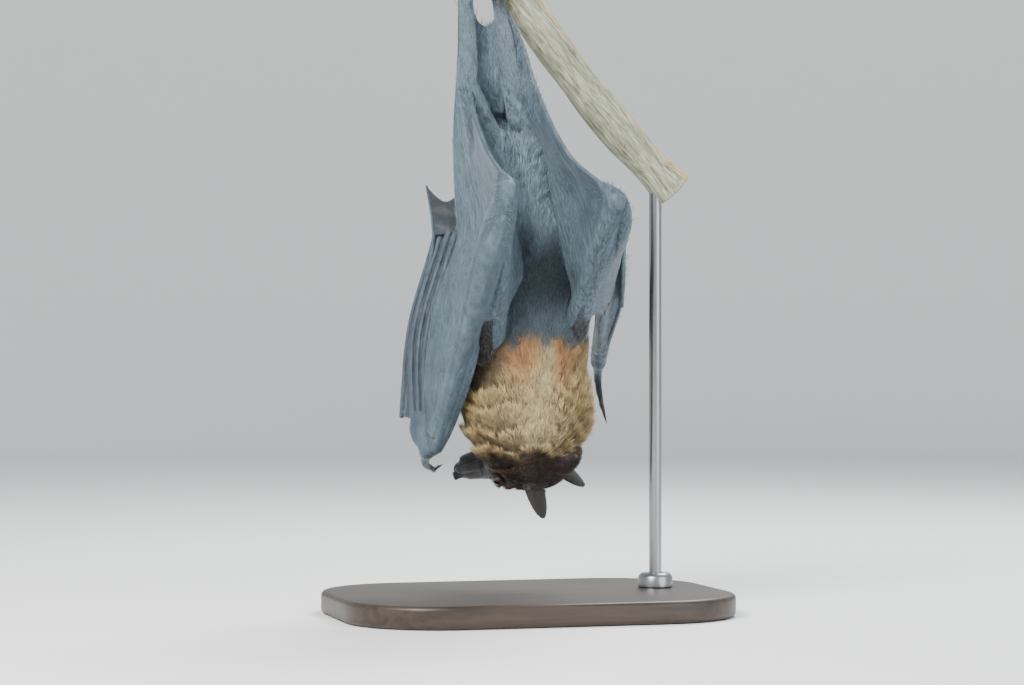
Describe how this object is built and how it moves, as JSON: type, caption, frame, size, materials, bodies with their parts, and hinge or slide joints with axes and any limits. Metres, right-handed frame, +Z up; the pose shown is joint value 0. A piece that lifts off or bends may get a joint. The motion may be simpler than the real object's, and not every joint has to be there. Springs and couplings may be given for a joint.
{
  "type": "fruit bat",
  "caption": "Life-size still model of a large fruit bat that hangs head down from a short cut branch with its wings folded, on a flat base with a rod.",
  "frame": {"origin": "centre of the underside of the stand's base", "axes": "+Z up, opposite to the underside's outward normal. The bat's back faces -Y, its belly +Y, and its left side +X"},
  "size_m": [0.25, 0.1942, 0.4902],
  "materials": {
    "stand_wood": "dark satin varnish",
    "stand_metal": "satin",
    "branch_wood": "weathered, bark gone",
    "body_fur": "dense fur, black with a silvery blue sheen",
    "mantle_fur": "dense woolly fur, ochre with orange patches",
    "face_fur": "short dense fur, dark reddish brown",
    "wing_skin": "soft, finely wrinkled, slight sheen",
    "foot_skin": "scaly, dull",
    "eye": "wet gloss",
    "claw": "horn, satin"
  },
  "bodies": {
    "root": {"stand_base": "stand_wood", "stand_rod": "stand_metal", "stand_collar": "stand_metal", "branch": "branch_wood", "trunk": "body_fur", "head": "face_fur", "neck": "mantle_fur", "eye_left": "eye", "ear_left": "face_fur", "eye_right": "eye", "ear_right": "face_fur", "thigh_left": "body_fur", "shank_left": "body_fur", "foot_left": "foot_skin", "claw_left_toe_1": "claw", "claw_left_toe_2": "claw", "claw_left_toe_3": "claw", "claw_left_toe_4": "claw", "claw_left_toe_5": "claw", "upper_arm_left": "body_fur", "forearm_left": "wing_skin", "thumb_left": "wing_skin", "hand_left": "wing_skin", "index_finger_left": "wing_skin", "claw_left_thumb": "claw", "claw_left_index": "claw", "wing_skin_left": "wing_skin", "front_wing_skin_left": "wing_skin", "thigh_right": "body_fur", "shank_right": "body_fur", "foot_right": "foot_skin", "claw_right_toe_1": "claw", "claw_right_toe_2": "claw", "claw_right_toe_3": "claw", "claw_right_toe_4": "claw", "claw_right_toe_5": "claw", "upper_arm_right": "body_fur", "forearm_right": "wing_skin", "thumb_right": "wing_skin", "hand_right": "wing_skin", "index_finger_right": "wing_skin", "claw_right_thumb": "claw", "claw_right_index": "claw", "wing_skin_right": "wing_skin", "front_wing_skin_right": "wing_skin", "tail_skin": "wing_skin"}
  },
  "joints": []
}
